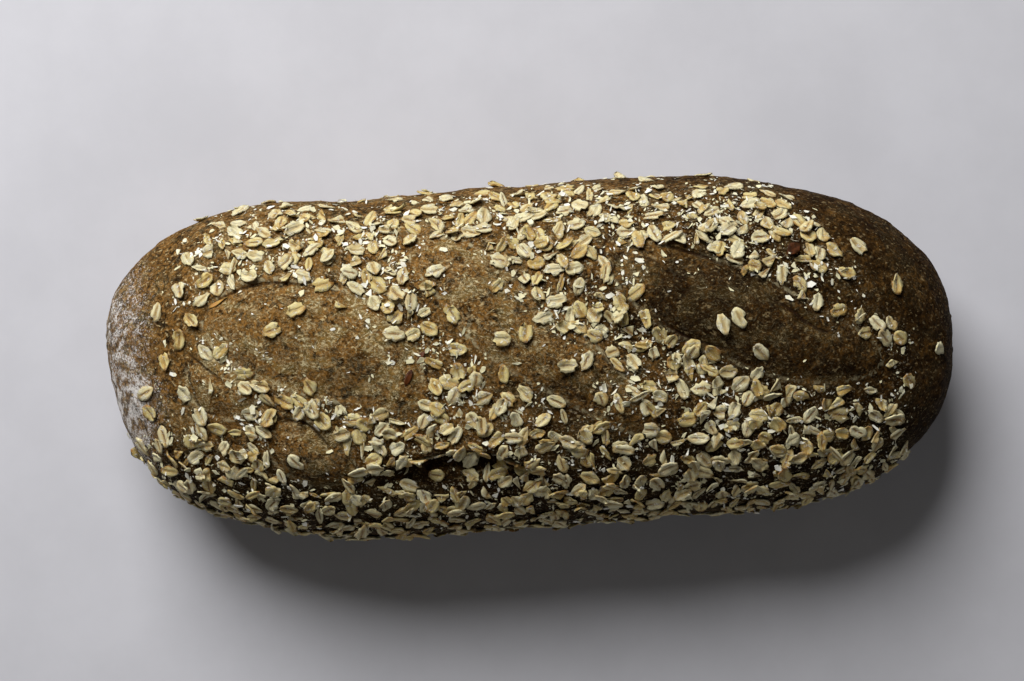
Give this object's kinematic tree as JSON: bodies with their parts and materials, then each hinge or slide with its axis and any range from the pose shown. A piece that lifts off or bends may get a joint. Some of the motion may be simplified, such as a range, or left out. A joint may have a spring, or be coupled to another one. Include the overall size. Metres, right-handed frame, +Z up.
{
  "type": "oat-topped hearth loaf",
  "caption": "Oblong hearth-baked brown loaf with rounded ends, scored across its top and covered with rolled oats, lying on its flat base.",
  "frame": {"origin": "under the middle of the loaf's box, on the flat base it rests on", "axes": "+X along the loaf, +Y across it, +Z up"},
  "size_m": [0.34, 0.1404, 0.0914],
  "materials": {
    "crust": "dry matt crust",
    "oat": "dry matt, lightly toasted",
    "dark_husk": "slightly glossy",
    "red_husk": "slightly glossy",
    "bran": "dry matt"
  },
  "bodies": {
    "root": {"loaf": "crust", "oat_flake_01": "oat", "oat_flake_02": "oat", "oat_flake_03": "oat", "oat_flake_04": "oat", "oat_flake_05": "oat", "oat_flake_06": "oat", "oat_flake_07": "oat", "oat_flake_08": "oat", "oat_flake_09": "oat", "oat_flake_10": "oat", "oat_flake_11": "oat", "oat_flake_12": "oat", "oat_flake_13": "oat", "oat_flake_14": "oat", "oat_flake_15": "oat", "oat_flake_16": "oat", "oat_flake_17": "oat", "oat_flake_18": "oat", "oat_flake_19": "oat", "oat_flake_20": "oat", "oat_flake_21": "oat", "oat_flake_22": "oat", "oat_flake_23": "oat", "oat_flake_24": "oat", "oat_flake_25": "oat", "oat_flake_26": "oat", "oat_flake_27": "oat", "oat_flake_28": "oat", "oat_flake_29": "oat", "oat_flake_30": "oat", "oat_flake_31": "oat", "oat_flake_32": "oat", "oat_flake_33": "oat", "oat_flake_34": "oat", "oat_flake_35": "oat", "oat_flake_36": "oat", "oat_flake_37": "oat", "oat_flake_38": "oat", "oat_flake_39": "oat", "oat_flake_40": "oat", "oat_flake_41": "oat", "oat_flake_42": "oat", "oat_flake_43": "oat", "oat_flake_44": "oat", "oat_flake_45": "oat", "oat_flake_46": "oat", "oat_flake_47": "oat", "oat_flake_48": "oat", "oat_flake_49": "oat", "oat_flake_50": "oat", "oat_flake_51": "oat", "dark_husk": "dark_husk", "red_husk": "red_husk", "red_husk_small": "red_husk", "bran_sliver": "bran"}
  },
  "joints": []
}
